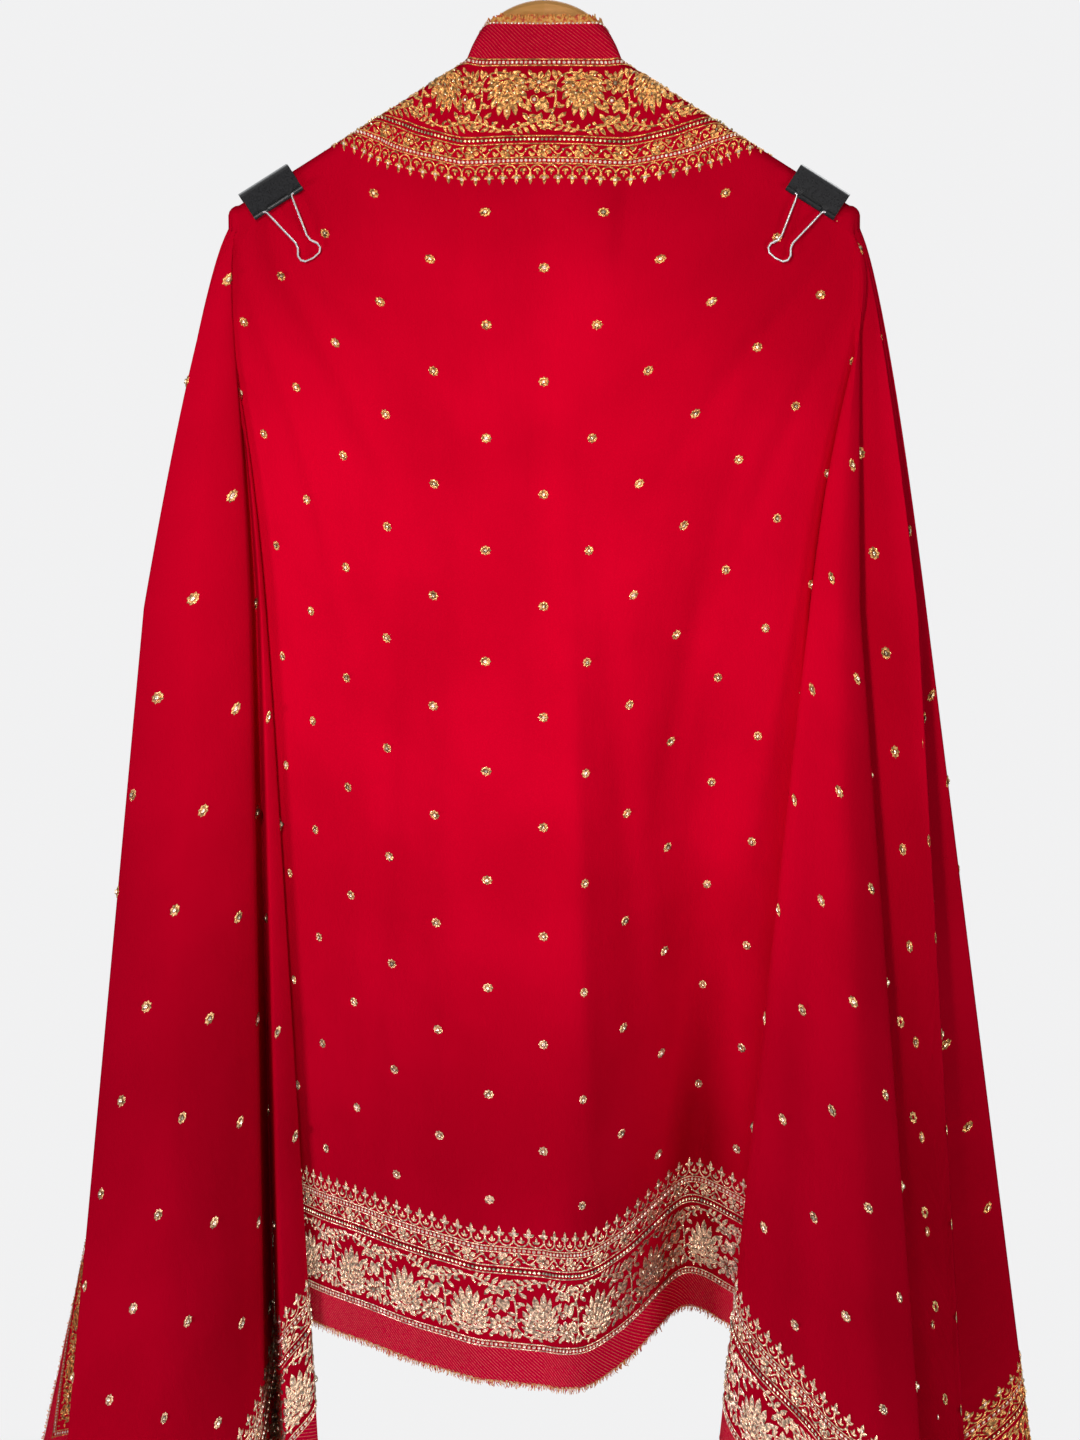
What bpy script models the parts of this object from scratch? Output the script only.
"""A georgette dupatta draped over a flat wooden hanger and held by two binder clips.

Metres, +Z up. X runs along the hanger and the front faces -Y. The origin is the point at
the top of the hook's inside, where the hanger hangs on its rail.
"""

import math
from collections import namedtuple

import bmesh
import bpy
import numpy as np
from mathutils import Matrix, Vector

# Cloth, laid flat: u runs along its length from the middle, v across it from the neck edge.
CLOTH_LENGTH = 2.40
CLOTH_WIDTH = 1.00
CLOTH_THICK = 0.0012

# Hanger: a flat board, 12 mm thick, whose two arms slope down and sweep forward.
WOOD_HALF_THICK = 0.006
ARM_X = 0.215  # from the middle to the centre of each rounded tip
ARM_SWEEP = 0.030  # how far the tips come forward
ARM_SLOPE = 0.628
NECK_TOP = -0.0735
NECK_ROUND = 0.055  # radius of the dome between the arms
NECK_RISE = 0.0093  # from where the arms' lines would meet, up to the dome's top
NECK_JOIN = 0.004  # how softly the dome runs out into the arms
DOME_FALLOFF = 2.0  # slope that takes the dome's line below the arms past its radius
NECK_REACH = 0.066  # the board's sections are close together up to here
ARM_HEIGHT = 0.021
NECK_EXTRA_HEIGHT = 0.022
NECK_SPREAD = 0.030

# The cloth bends over the board's top edge on this radius, clear of the wood.
WRAP = 0.0078
RIDGE_LIFT = WRAP - WOOD_HALF_THICK
RIDGE_TOP = NECK_TOP + RIDGE_LIFT
NECK_GAP = 0.0215  # how far below the ridge the neck edge hangs at the middle
FRONT_LEAN = 0.030  # how far the panel comes forward at the middle
LEAN_RUN = 0.16
LEAN_TAKES = 0.009  # how much of the drop the forward lean takes up
FLAT_POWER = 4  # how near a fall the panel stays flat before it turns with the pleat beside it
FRONT_BELOW_CLIP = 0.0044  # how far the cloth stands out at the end of a clip's handle
BACK_BELOW_CLIP = 0.0080

# Falls: the cloth beyond each arm's tip, hung from that tip in pleats. Each pleat line is a
# straight ray of the cloth. `share` is 0 straight down the front, 1 along the cloth and 2
# straight down the back. `x` is outward from the tip and `y` is back from it, in metres, at
# the two depths MID_FALL and LOW_FALL below the tip.
MID_FALL = 0.29
LOW_FALL = 0.78
HELD = 0.022  # the cloth stays close to the board this far below the ridge
OPENING_CURVE = 0.75  # how quickly the pleats open below the tip
SPREAD_END = 0.95  # below this the pleats widen more slowly
SLOWER = 0.5
HEM_LIFT = 0.15  # what hangs below SPREAD_END is drawn up by its folds
Pleat = namedtuple("Pleat", "line share x_mid x_low y_mid y_low")
LEFT_PLEATS = (
    Pleat("panel side", 0.000, -0.0160, -0.028, 0.006, 0.014),
    Pleat("return", 0.060, -0.0155, -0.013, 0.018, 0.036),
    Pleat("narrow pleat, inner", 0.115, -0.0175, -0.041, 0.000, -0.002),
    Pleat("narrow pleat, outer", 0.145, -0.0150, -0.023, -0.005, -0.012),
    Pleat("valley", 0.175, -0.0100, -0.012, 0.014, 0.044),
    Pleat("wide pleat, inner", 0.205, -0.0060, -0.007, -0.005, -0.008),
    Pleat("wide pleat, crown", 0.290, 0.0290, 0.056, -0.018, -0.040),
    Pleat("wide pleat, outer", 0.375, 0.0680, 0.122, 0.002, 0.000),
    Pleat("second, inner", 0.500, 0.0090, 0.010, 0.009, 0.022),
    Pleat("second, outer", 0.625, 0.0600, 0.112, 0.014, 0.034),
    Pleat("third, inner", 0.740, 0.0060, 0.013, 0.019, 0.046),
    Pleat("third, outer", 0.855, 0.0620, 0.116, 0.024, 0.058),
    Pleat("last, inner", 0.970, 0.0040, 0.020, 0.029, 0.070),
    Pleat("neck edge", 1.200, 0.0160, 0.139, 0.034, 0.084),
    Pleat("back", 2.000, 0.000, 0.000, 0.037, 0.100),
)
RIGHT_PLEATS = (
    Pleat("panel side", 0.000, -0.0260, -0.045, 0.006, 0.030),
    Pleat("return", 0.025, -0.0255, -0.034, 0.013, 0.042),
    Pleat("wide pleat, inner", 0.055, -0.0270, -0.075, -0.008, -0.034),
    Pleat("wide pleat, crown", 0.150, -0.0100, -0.016, -0.018, -0.050),
    Pleat("wide pleat, outer", 0.240, 0.0080, 0.050, -0.006, -0.016),
    Pleat("valley", 0.325, -0.0040, 0.004, 0.012, 0.032),
    Pleat("second, outer", 0.500, 0.0480, 0.084, 0.004, 0.004),
    Pleat("third, inner", 0.610, 0.0140, 0.024, 0.011, 0.024),
    Pleat("third, outer", 0.720, 0.0500, 0.080, 0.016, 0.036),
    Pleat("fourth, inner", 0.820, 0.0080, 0.018, 0.021, 0.048),
    Pleat("fourth, outer", 0.930, 0.0540, 0.127, 0.025, 0.060),
    Pleat("last, inner", 1.030, 0.0100, 0.024, 0.030, 0.072),
    Pleat("neck edge", 1.180, 0.0480, 0.112, 0.034, 0.085),
    Pleat("back", 2.000, 0.000, 0.000, 0.037, 0.100),
)

# How far the cloth's straight rows are drawn up, from the middle (share 0) to the tip (share 1).
Draw = namedtuple("Draw", "share rise")
LEFT_DRAWS = (
    Draw(0.00, 0.0000),
    Draw(0.16, 0.0005),
    Draw(0.30, 0.0085),
    Draw(0.45, 0.0190),
    Draw(0.60, 0.0310),
    Draw(0.80, 0.0440),
    Draw(1.00, 0.0550),
)
RIGHT_DRAWS = (
    Draw(0.00, 0.0000),
    Draw(0.16, 0.0005),
    Draw(0.33, 0.0090),
    Draw(0.49, 0.0195),
    Draw(0.66, 0.0290),
    Draw(0.83, 0.0290),
    Draw(1.00, 0.0230),
)

# Each side of the cloth: where on its length the arm's tip lies, how it is drawn up and pleated.
Side = namedtuple("Side", "sign tip_u low_bulge draws pleats")
SIDES = (
    Side(-1.0, 0.230, 0.50, LEFT_DRAWS, LEFT_PLEATS),
    Side(1.0, 0.210, 0.00, RIGHT_DRAWS, RIGHT_PLEATS),
)
TOP_BULGE = 0.25
BULGE_RUN = 0.5
SHEAR = 0.93  # a fall's bias: how much of the cloth's length beyond a tip adds to its drop
EDGE_DROP = 0.075  # the neck edge hangs straight, so its drop is this share longer than the bias's
EDGE_RUN = 0.15
EDGE_RETURN = 0.50

# Below each tip the front of the cloth first swings out, then comes back in.
SWING = 0.020
SWING_RUN = 0.050
SWING_SHARE = 0.30

# Soft ripples of the front panel. `depth` is away from the front and `lift` is up, at the hem.
Ripple = namedtuple("Ripple", "u half_width depth lift")
RIPPLES = (
    Ripple(-0.130, 0.050, 0.006, 0.000),
    Ripple(0.018, 0.045, -0.024, 0.000),
    Ripple(0.145, 0.050, 0.068, 0.014),
)
RIPPLE_START = 0.20
RIPPLE_FULL = 0.90

# Grid of the cloth's solid
WRAP_STATIONS = (0.0, 0.25, 0.5, 0.75, 1.0)  # of the quarter turn over the round edge
FALL_STATIONS = 12
STATION_GROWTH = 1.1
WELD = 0.00002
RAYS_PER_PLEAT = 3
PANEL_COLUMNS = 16
CROSSING_STEPS = (3, 7)  # closer columns before and past the place where the neck edge crosses
CROSSING_STEP = 0.016
CROSSING_SAMPLES = 400

# Hook
HOOK_WIRE = 0.0020
HOOK_INSIDE = 0.020
HOOK_BORE = 0.0024
HOOK_SUNK = 0.018
BORE_DEEPER = 0.001
BORE_LENGTH = 0.06

# Binder clips. In a clip's own frame, X runs along the arm, Y to the back and Z up from the
# ridge of the cloth.
CLIP_X = 0.195
CLIP_WIDTH = 0.040
STEEL = 0.0007
SPINE_Z = 0.0060
SPINE_HALF = 0.0105
SPINE_BEND = 0.0016
SPINE_CORNER = 0.0005  # inset of the middle point of the bend, each way
JAW_Z = -0.0125
JAW_GAP = 0.0006
JAW_HALF = WRAP + CLOTH_THICK / 2 + JAW_GAP + STEEL / 2
ROLL = 0.0015  # to the middle of the steel that is rolled into each lip
ROLL_TURN = math.radians(285)
SLOT_FROM = 0.0085
SLOT_TO = 0.0128
SLOT_CLEAR = 0.0001
SLOT_REACH = 0.006
SLOT_HALF_HEIGHT = 0.004
WIRE = 0.00075
HANDLE_LIFT = 0.0004
# Half of a wire handle, from its end inside the lip to the middle of its loop: along and down
HANDLE = (
    (0.0190, 0.0000),
    (0.0120, 0.0000),
    (0.0110, 0.0004),
    (0.0104, 0.0014),
    (0.0080, 0.0140),
    (0.0048, 0.0300),
    (0.0054, 0.0340),
    (0.0082, 0.0385),
    (0.0082, 0.0420),
    (0.0058, 0.0446),
    (0.0000, 0.0455),
)


def clear_scene():
    for obj in list(bpy.data.objects):
        bpy.data.objects.remove(obj, do_unlink=True)


def material(name, colour, roughness, metallic=0.0):
    made = bpy.data.materials.new(name)
    made.use_nodes = True
    shader = made.node_tree.nodes["Principled BSDF"]
    shader.inputs["Base Color"].default_value = (*colour, 1.0)
    shader.inputs["Roughness"].default_value = roughness
    shader.inputs["Metallic"].default_value = metallic
    return made


def add_mesh(name, points, faces, finish):
    mesh = bpy.data.meshes.new(name)
    mesh.from_pydata([tuple(p) for p in points], [], [tuple(f) for f in faces])
    mesh.update()
    obj = bpy.data.objects.new(name, mesh)
    bpy.context.scene.collection.objects.link(obj)
    mesh.materials.append(finish)
    return obj


def smooth(x):
    """0 below 0 and 1 above 1, with a soft step between."""
    x = np.clip(x, 0.0, 1.0)
    return x * x * (3.0 - 2.0 * x)


def ridge_height(x):
    """The line along which the cloth bends over the arms and the neck's dome between them."""
    x = np.abs(x)
    arms = RIDGE_TOP - NECK_RISE - ARM_SLOPE * x
    dome = RIDGE_TOP - NECK_ROUND + np.sqrt(np.maximum(NECK_ROUND**2 - x**2, 0.0))
    dome = dome - DOME_FALLOFF * np.maximum(x - NECK_ROUND, 0.0)
    high, low = np.maximum(arms, dome), np.minimum(arms, dome)
    return high + NECK_JOIN * np.log1p(np.exp((low - high) / NECK_JOIN))


def around_edge(run):
    """Radius reached and height lost after `run` metres of cloth over the board's round edge."""
    turn = np.minimum(run / WRAP, math.pi / 2)
    radius = WRAP * np.sin(turn)
    drop = WRAP * (1.0 - np.cos(turn)) + run - WRAP * turn
    return radius, drop


def soft_curve(knots, values, at):
    """A curve through values[i] at knots[i] that turns only where the values turn."""
    step = np.diff(knots)[:, None]
    slope = np.diff(values, axis=0) / step
    product = slope[:-1] * slope[1:]
    total = np.where(product > 0, slope[:-1] + slope[1:], 1.0)
    inner = np.where(product > 0, 2.0 * product / total, 0.0)
    tangent = np.concatenate([slope[:1], inner, slope[-1:]])
    row = np.clip(np.searchsorted(knots, at, side="right") - 1, 0, len(knots) - 2)
    column = np.arange(len(at))
    width = step[row, 0]
    t = (at - knots[row]) / width
    low = values[row, column]
    high = values[row + 1, column]
    low_tangent = tangent[row, column] * width
    high_tangent = tangent[row + 1, column] * width
    return (
        (2 * t**3 - 3 * t**2 + 1) * low
        + (t**3 - 2 * t**2 + t) * low_tangent
        + (3 * t**2 - 2 * t**3) * high
        + (t**3 - t**2) * high_tangent
    )


def pleat_offsets(pleats, share, fall):
    """How far out and back from the tip a point of a fall lies."""
    table = np.array([row[1:] for row in pleats])
    knots, x_mid, x_low, y_mid, y_low = table.T
    opening = np.clip((fall - HELD) / (MID_FALL - HELD), 0.0, 1.0)
    past = np.minimum(fall, SPREAD_END) + SLOWER * np.maximum(fall - SPREAD_END, 0.0)
    further = np.maximum(past - MID_FALL, 0.0) / (LOW_FALL - MID_FALL)
    out = x_mid[:, None] * opening**OPENING_CURVE + (x_low - x_mid)[:, None] * further
    back = y_mid[:, None] * opening + (y_low - y_mid)[:, None] * further
    past = np.maximum(fall - HELD, 0.0) / SWING_RUN
    swing = SWING * past * np.exp(1.0 - past) * (1.0 - smooth(share / SWING_SHARE))
    return soft_curve(knots, out, share) + swing, soft_curve(knots, back, share)


def fall_points(row, along, across):
    """Cloth beyond a tip: `along` its length and `across` its width, both from the tip."""
    front = across >= 0.0
    fall = np.where(front, SHEAR * along + across, np.hypot(SHEAR * along, across))
    beside = np.maximum(along + across, 1e-9)
    share = np.where(front, along / beside, 1.0 - across / np.maximum(fall, 1e-9))
    out, back = pleat_offsets(row.pleats, share, fall)
    radius, drop = around_edge(fall)
    around = share * math.pi / 2
    x = row.sign * (ARM_X + radius * np.sin(around) + out)
    y = -ARM_SWEEP - radius * np.cos(around) + back
    straight = EDGE_DROP * smooth((share - 1.0) / EDGE_RUN) * smooth((2.0 - share) / EDGE_RETURN)
    z = ridge_height(ARM_X) - drop * (1.0 + straight)
    z = z + HEM_LIFT * np.maximum(fall - SPREAD_END, 0.0) ** 2
    return np.stack([x, y, z], axis=-1)


def ridge_x(share):
    """How far from the middle the ridge's point at `share` is."""
    return ARM_X * share * (1.0 + TOP_BULGE * (1.0 - share))


def ridge_v(row, share):
    """Where across the cloth the ridge lies, at `share` of the way from the neck to the tip."""
    share = np.asarray(share, float)
    table = np.array(row.draws)
    rises = np.repeat(table[:, 1:], share.size, axis=1)
    rise = soft_curve(table[:, 0], rises, share.ravel()).reshape(share.shape)
    return rise - NECK_GAP + ridge_height(0.0) - ridge_height(ridge_x(share))


def panel_points(row, share, run):
    """Cloth between the neck and a tip. `run` is measured from the ridge: + front, - back."""
    front = run >= 0.0
    length = np.abs(run)
    end_out, end_back = pleat_offsets(row.pleats, np.where(front, 0.0, 2.0), length)
    bulge = TOP_BULGE + (row.low_bulge - TOP_BULGE) * smooth(run / BULGE_RUN)
    x = row.sign * (ARM_X + end_out) * share * (1.0 + bulge * (1.0 - share))
    radius, drop = around_edge(length)
    lean = (1.0 - share**2) * smooth((run - HELD) / LEAN_RUN)
    u = row.sign * share * row.tip_u
    full = smooth((run - RIPPLE_START) / (RIPPLE_FULL - RIPPLE_START))
    full = full * (1.0 - share**FLAT_POWER)
    wave = [full * np.exp(-(((u - ripple.u) / ripple.half_width) ** 2)) for ripple in RIPPLES]
    y = -ARM_SWEEP / ARM_X * ridge_x(share) - np.where(front, radius, -radius)
    y = y - FRONT_LEAN * lean + end_back * np.where(front, share**FLAT_POWER, 1.0)
    y = y + sum(ripple.depth * part for ripple, part in zip(RIPPLES, wave))
    z = ridge_height(ridge_x(share)) - drop + LEAN_TAKES * lean
    z = z + sum(ripple.lift * part for ripple, part in zip(RIPPLES, wave))
    return np.stack([x, y, z], axis=-1)


def stations(start, end, count=FALL_STATIONS):
    """Runs of cloth from the ridge: close over the round edge, then spread to the hem."""
    over = np.append(np.array(WRAP_STATIONS) * WRAP * math.pi / 2, HELD)
    over = np.clip(over, start, end)
    spread = np.linspace(0.0, 1.0, count + 1)[1:] ** STATION_GROWTH
    return np.concatenate([over, over[-1] + (end - over[-1]) * spread])


def tip_v(row):
    return float(ridge_v(row, 1.0))


def ray_end(row, share):
    """How far the ray at `share` runs before it leaves the cloth."""
    most_along = CLOTH_LENGTH / 2 - row.tip_u
    if share <= 1.0:
        most_across = CLOTH_WIDTH - tip_v(row)
        return min(most_across / max(1.0 - share, 1e-9), most_along / max(share, 1e-9))
    sine = share - 1.0
    return min(SHEAR * most_along / math.sqrt(max(1.0 - sine * sine, 1e-9)), tip_v(row) / sine)


def ray_shares(row, per_pleat=RAYS_PER_PLEAT):
    """The pleat lines, steps between them, and the rays that end at the two corners."""
    most_along = CLOTH_LENGTH / 2 - row.tip_u
    shares = []
    for low, high in zip(row.pleats[:-1], row.pleats[1:]):
        shares += list(np.linspace(low.share, high.share, per_pleat, endpoint=False))
    shares.append(row.pleats[-1].share)
    front_corner = most_along / (most_along + CLOTH_WIDTH - tip_v(row))
    back_corner = 1.0 + tip_v(row) / math.hypot(SHEAR * most_along, tip_v(row))
    for corner in (front_corner, back_corner):
        nearest = int(np.argmin(np.abs(np.array(shares) - corner)))
        shares[nearest] = corner
    return shares


def fall_grid(row, per_pleat=RAYS_PER_PLEAT, count=FALL_STATIONS):
    rays = []
    for share in ray_shares(row, per_pleat):
        run = stations(0.0, ray_end(row, share), count)
        if share <= 1.0:
            along, across = share * run, (1.0 - share) * run
        else:
            sine = share - 1.0
            along, across = math.sqrt(max(1.0 - sine * sine, 0.0)) / SHEAR * run, -sine * run
        rays.append(fall_points(row, along, across))
    return np.array(rays)


def panel_shares(row, columns=PANEL_COLUMNS // 2):
    """Columns of the panel, close together where the neck edge crosses over the ridge."""
    fine = np.linspace(0.0, 1.0, CROSSING_SAMPLES)
    crossing = float(np.interp(0.0, ridge_v(row, fine), fine))
    close = crossing + CROSSING_STEP * np.arange(-CROSSING_STEPS[0], CROSSING_STEPS[1] + 1)
    before = np.linspace(0.0, close[0], 4)[:-1]
    after = np.linspace(close[-1], 1.0, columns)[1:]
    return np.concatenate([before, close, after])


def panel_grid(row, front, columns=PANEL_COLUMNS // 2, count=FALL_STATIONS):
    """The panel from the neck to one tip, in front of the ridge or behind it."""
    grid = []
    for share in panel_shares(row, columns):
        v = float(ridge_v(row, share))
        if front:
            run = stations(max(-v, 0.0), CLOTH_WIDTH - v, count)
        else:
            run = -stations(0.0, max(v, 0.0), count)
        grid.append(panel_points(row, np.full(len(run), share), run))
    return np.array(grid)


def add_grid(mesh, grid, flip):
    """Adds a grid of points to a bmesh as quads, facing the other way if `flip`."""
    columns, rows = grid.shape[:2]
    made = [[mesh.verts.new(grid[i, j]) for j in range(rows)] for i in range(columns)]
    for i in range(columns - 1):
        for j in range(rows - 1):
            corners = [made[i][j], made[i + 1][j], made[i + 1][j + 1], made[i][j + 1]]
            mesh.faces.new(corners[::-1] if flip else corners)


def make_dupatta(finish):
    """One sheet: front panel, the strip behind the ridge, and the two pleated falls."""
    sheet = bmesh.new()
    for row in SIDES:
        outward = row.sign > 0
        add_grid(sheet, panel_grid(row, front=True), flip=outward)
        add_grid(sheet, panel_grid(row, front=False), flip=not outward)
        add_grid(sheet, fall_grid(row), flip=outward)
    bmesh.ops.remove_doubles(sheet, verts=sheet.verts, dist=WELD)
    bmesh.ops.dissolve_degenerate(sheet, edges=sheet.edges, dist=WELD / 2)
    bmesh.ops.recalc_face_normals(sheet, faces=sheet.faces)
    mesh = bpy.data.meshes.new("dupatta")
    sheet.to_mesh(mesh)
    sheet.free()
    mesh.materials.append(finish)
    mesh.shade_smooth()
    obj = bpy.data.objects.new("dupatta", mesh)
    bpy.context.scene.collection.objects.link(obj)
    thick = obj.modifiers.new("cloth thickness", "SOLIDIFY")
    thick.thickness = CLOTH_THICK
    thick.offset = 0.0
    return obj


def board_section(x):
    """The board's outline at `x`, in Y and Z, counter-clockwise seen from +X."""
    side = abs(x)
    past = max(side - ARM_X, 0.0)
    half = math.sqrt(max(WOOD_HALF_THICK**2 - past**2, 0.0))
    middle_y = -ARM_SWEEP * min(side, ARM_X) / ARM_X
    under = min(side, ARM_X)
    slope = float(ridge_height(under + WELD) - ridge_height(under - WELD)) / (2 * WELD)
    steeper = max(math.hypot(1.0, slope) / math.hypot(1.0, ARM_SLOPE), 1.0)
    top = float(ridge_height(under)) - RIDGE_LIFT * steeper
    extra = NECK_EXTRA_HEIGHT * math.exp(-((side / NECK_SPREAD) ** 2))
    bottom = top - ARM_HEIGHT - extra
    points = []
    for turn in np.linspace(0.0, math.pi, 7):
        points.append((middle_y + half * math.cos(turn), top - WOOD_HALF_THICK + half * math.sin(turn)))
    for turn in np.linspace(math.pi, 2 * math.pi, 7):
        points.append((middle_y + half * math.cos(turn), bottom + half * (1 + math.sin(turn))))
    return [(x, y, z) for y, z in points]


def make_board(finish):
    """The flat wooden hanger, lofted from tip to tip and bored for its hook."""
    inner = list(np.linspace(0.0, NECK_REACH, 22)) + list(np.linspace(NECK_REACH, ARM_X, 9))[1:]
    tips = [ARM_X + WOOD_HALF_THICK * s for s in (0.5, 0.87, 0.985)]
    right = inner + tips
    xs = [-x for x in reversed(right[1:])] + right
    rings = [board_section(x) for x in xs]
    count = len(rings[0])
    points = [p for ring in rings for p in ring]
    faces = []
    for i in range(len(rings) - 1):
        for j in range(count):
            k = (j + 1) % count
            faces.append((i * count + j, i * count + k, (i + 1) * count + k, (i + 1) * count + j))
    faces.append(tuple(range(count))[::-1])
    faces.append(tuple((len(rings) - 1) * count + j for j in range(count)))
    board = add_mesh("hanger_wood", points, faces, finish)
    tidy = bmesh.new()
    tidy.from_mesh(board.data)
    bmesh.ops.recalc_face_normals(tidy, faces=tidy.faces)
    tidy.to_mesh(board.data)
    tidy.free()
    board.data.shade_smooth()
    board.data.set_sharp_from_angle(angle=math.radians(50))

    bore_middle = NECK_TOP - HOOK_SUNK - BORE_DEEPER + BORE_LENGTH / 2
    bpy.ops.mesh.primitive_cylinder_add(
        vertices=16, radius=HOOK_BORE, depth=BORE_LENGTH, location=(0, 0, bore_middle)
    )
    bore = bpy.context.object
    bore.name = "hook_bore"
    bore.hide_render = True
    bore.display_type = "WIRE"
    cut = board.modifiers.new("hook bore", "BOOLEAN")
    cut.operation = "DIFFERENCE"
    cut.solver = "EXACT"
    cut.object = bore
    return board


def sweep(path, radius, sides):
    """A round wire along a path that stays in one plane, with flat ends."""
    path = [Vector(p) for p in path]
    normal = Vector((0, 0, 0))
    for a, b, c in zip(path[:-2], path[1:-1], path[2:]):
        normal += (b - a).cross(c - b)
    normal.normalize()
    points = []
    for i, at in enumerate(path):
        before = (at - path[i - 1]).normalized() if i else (path[1] - at).normalized()
        after = (path[i + 1] - at).normalized() if i + 1 < len(path) else before
        ahead = (before + after).normalized()
        out = ahead.cross(normal).normalized()
        stretch = 1.0 / max(ahead.dot(before), 0.5)
        for k in range(sides):
            turn = 2 * math.pi * (k + 0.5) / sides
            aside = out * (radius * stretch * math.cos(turn))
            points.append(at + aside + normal * (radius * math.sin(turn)))
    faces = []
    for i in range(len(path) - 1):
        for k in range(sides):
            n = (k + 1) % sides
            faces.append((i * sides + k, i * sides + n, (i + 1) * sides + n, (i + 1) * sides + k))
    faces.append(tuple(range(sides))[::-1])
    faces.append(tuple((len(path) - 1) * sides + k for k in range(sides)))
    return points, faces


def faced_out(obj):
    """Turns every face of a closed mesh outward."""
    mesh = bmesh.new()
    mesh.from_mesh(obj.data)
    bmesh.ops.recalc_face_normals(mesh, faces=mesh.faces)
    if mesh.calc_volume(signed=True) < 0:
        bmesh.ops.reverse_faces(mesh, faces=mesh.faces)
    mesh.to_mesh(obj.data)
    mesh.free()
    obj.data.shade_smooth()
    obj.data.set_sharp_from_angle(angle=math.radians(50))
    return obj


def make_hook(finish):
    """A bent wire: a stem in the wood, a soft bend, and three quarters of a turn."""
    radius = HOOK_INSIDE + HOOK_WIRE
    middle = -HOOK_INSIDE
    path = [(0.0, 0.0, NECK_TOP - HOOK_SUNK), (0.0, 0.0, NECK_TOP), (0.0, 0.0, middle - radius - 0.014)]
    path += [(0.0012, 0.0, middle - radius - 0.008), (0.0050, 0.0, middle - radius - 0.002)]
    for degrees in range(-55, 206, 13):
        turn = math.radians(degrees)
        path.append((radius * math.cos(turn), 0.0, middle + radius * math.sin(turn)))
    points, faces = sweep(path, HOOK_WIRE, 10)
    return faced_out(add_mesh("hanger_hook", points, faces, finish))


def clip_frame(side):
    """World matrix of a clip: on the ridge of the cloth, turned along the arm."""
    at_clip = Vector((side * CLIP_X, -ARM_SWEEP * CLIP_X / ARM_X, float(ridge_height(CLIP_X))))
    outer = Vector((side * ARM_X, -ARM_SWEEP, float(ridge_height(ARM_X))))
    along = (outer - at_clip).normalized() * side
    back = Vector((0, 0, 1)).cross(along).normalized()
    up = along.cross(back).normalized()
    frame = Matrix((along, back, up)).transposed().to_4x4()
    frame.translation = at_clip
    return frame


def lip_axis(front):
    """Centre line of a rolled lip in the clip's frame, in Y and Z."""
    sign = -1.0 if front else 1.0
    return sign * (JAW_HALF + ROLL), JAW_Z


def clip_path():
    """The bent strip of steel, seen from the end: roll, jaw, spine, jaw, roll."""
    half = []
    centre_y, centre_z = JAW_HALF + ROLL, JAW_Z
    for turn in np.linspace(math.pi + ROLL_TURN, math.pi, 12):
        half.append((centre_y + ROLL * math.cos(turn), centre_z + ROLL * math.sin(turn)))
    half.append((SPINE_HALF, SPINE_Z - SPINE_BEND))
    half.append((SPINE_HALF - SPINE_CORNER, SPINE_Z - SPINE_CORNER))
    half.append((SPINE_HALF - SPINE_BEND, SPINE_Z))
    return [(-y, z) for y, z in half] + half[::-1]


def strip_outline(path, thick):
    """The closed outline of a strip along a path in a plane."""
    path = [Vector((*p, 0.0)) for p in path]
    left, right = [], []
    for i, at in enumerate(path):
        before = (at - path[i - 1]).normalized() if i else (path[1] - at).normalized()
        after = (path[i + 1] - at).normalized() if i + 1 < len(path) else before
        ahead = (before + after).normalized()
        out = Vector((-ahead.y, ahead.x, 0.0)) * (thick / 2 / max(ahead.dot(before), 0.5))
        left.append(at + out)
        right.append(at - out)
    return left + right[::-1]


def box_mesh(boxes):
    """Separate boxes in one mesh, each given as its low and high corner."""
    points, faces = [], []
    for low, high in boxes:
        start = len(points)
        xs, ys, zs = zip(low, high)
        points += [(x, y, z) for x in xs for y in ys for z in zs]
        sides = ((0, 1, 3, 2), (4, 6, 7, 5), (0, 4, 5, 1), (2, 3, 7, 6), (0, 2, 6, 4), (1, 5, 7, 3))
        faces += [tuple(start + corner for corner in face) for face in sides]
    return points, faces


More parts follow.
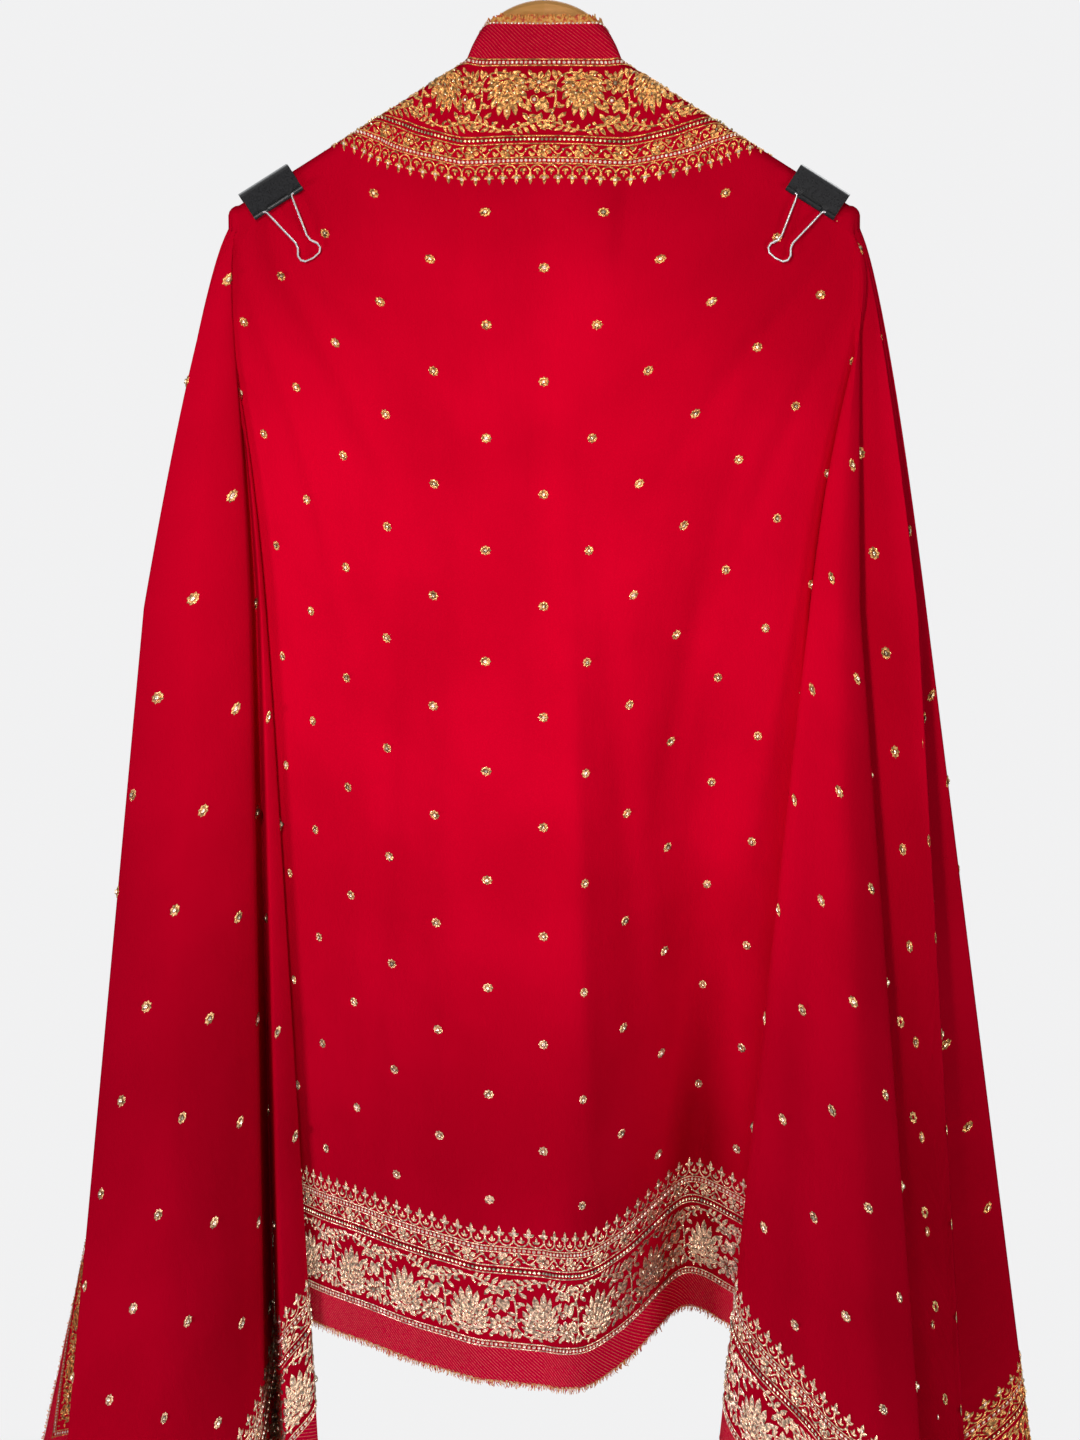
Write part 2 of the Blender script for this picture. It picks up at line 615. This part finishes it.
def make_clip_body(name, frame, finish):
    """Extrudes the strip and cuts the four slots that the handles' legs swing in."""
    outline = strip_outline(clip_path(), STEEL)
    count = len(outline)
    points = [(x, p.x, p.y) for x in (-CLIP_WIDTH / 2, CLIP_WIDTH / 2) for p in outline]
    faces = [tuple(range(count)), tuple(range(count, 2 * count))[::-1]]
    faces += [(j, j + count, (j + 1) % count + count, (j + 1) % count) for j in range(count)]
    body = faced_out(add_mesh(name, points, faces, finish))
    body.matrix_world = frame
    slots = []
    for sign_x in (-1, 1):
        for sign_y in (-1, 1):
            xs = sorted((sign_x * SLOT_FROM, sign_x * SLOT_TO))
            near = JAW_HALF + STEEL / 2 + SLOT_CLEAR
            ys = sorted((sign_y * near, sign_y * (JAW_HALF + SLOT_REACH)))
            low, high = JAW_Z - SLOT_HALF_HEIGHT, JAW_Z + SLOT_HALF_HEIGHT
            slots.append(((xs[0], ys[0], low), (xs[1], ys[1], high)))
    cutter = faced_out(add_mesh(name + "_slots", *box_mesh(slots), finish))
    cutter.matrix_world = frame
    cutter.hide_render = True
    cutter.display_type = "WIRE"
    cut = body.modifiers.new("slots", "BOOLEAN")
    cut.operation = "DIFFERENCE"
    cut.solver = "EXACT"
    cut.object = cutter
    return body


def handle_tilt(front):
    """Angle at which a handle lies on the cloth, away from the clip's own plane."""
    centre_y = JAW_HALF + ROLL
    reach = HANDLE[-1][1]
    cloth_y = WRAP + CLOTH_THICK / 2 + WIRE + HANDLE_LIFT
    cloth_y += FRONT_BELOW_CLIP if front else BACK_BELOW_CLIP
    return math.asin((cloth_y - centre_y) / reach)


def make_handle(name, frame, front, finish):
    """One wire handle. Its origin is on the lip's centre line, its hinge axis."""
    sign = -1.0 if front else 1.0
    centre_y, centre_z = lip_axis(front)
    tilt = handle_tilt(front)
    half = [(a, sign * d * math.sin(tilt), -d * math.cos(tilt)) for a, d in HANDLE]
    path = half + [(-a, y, z) for a, y, z in half[-2::-1]]
    points, faces = sweep(path, WIRE, 8)
    handle = faced_out(add_mesh(name, points, faces, finish))
    handle.matrix_world = frame @ Matrix.Translation((0.0, centre_y, centre_z))
    return handle


def build():
    clear_scene()
    cloth = material("red_georgette", (0.62, 0.0, 0.035), 0.75)
    wood = material("varnished_wood", (0.55, 0.27, 0.10), 0.35)
    steel = material("hook_steel", (0.70, 0.70, 0.70), 0.25, 1.0)
    black = material("black_spring_steel", (0.015, 0.015, 0.015), 0.35)
    bright = material("bright_wire", (0.80, 0.80, 0.80), 0.20, 1.0)
    make_dupatta(cloth)
    make_board(wood)
    make_hook(steel)
    for side, word in ((-1.0, "left"), (1.0, "right")):
        frame = clip_frame(side)
        make_clip_body(f"clip_{word}_body", frame, black)
        make_handle(f"clip_{word}_front_handle", frame, True, bright)
        make_handle(f"clip_{word}_back_handle", frame, False, bright)


build()
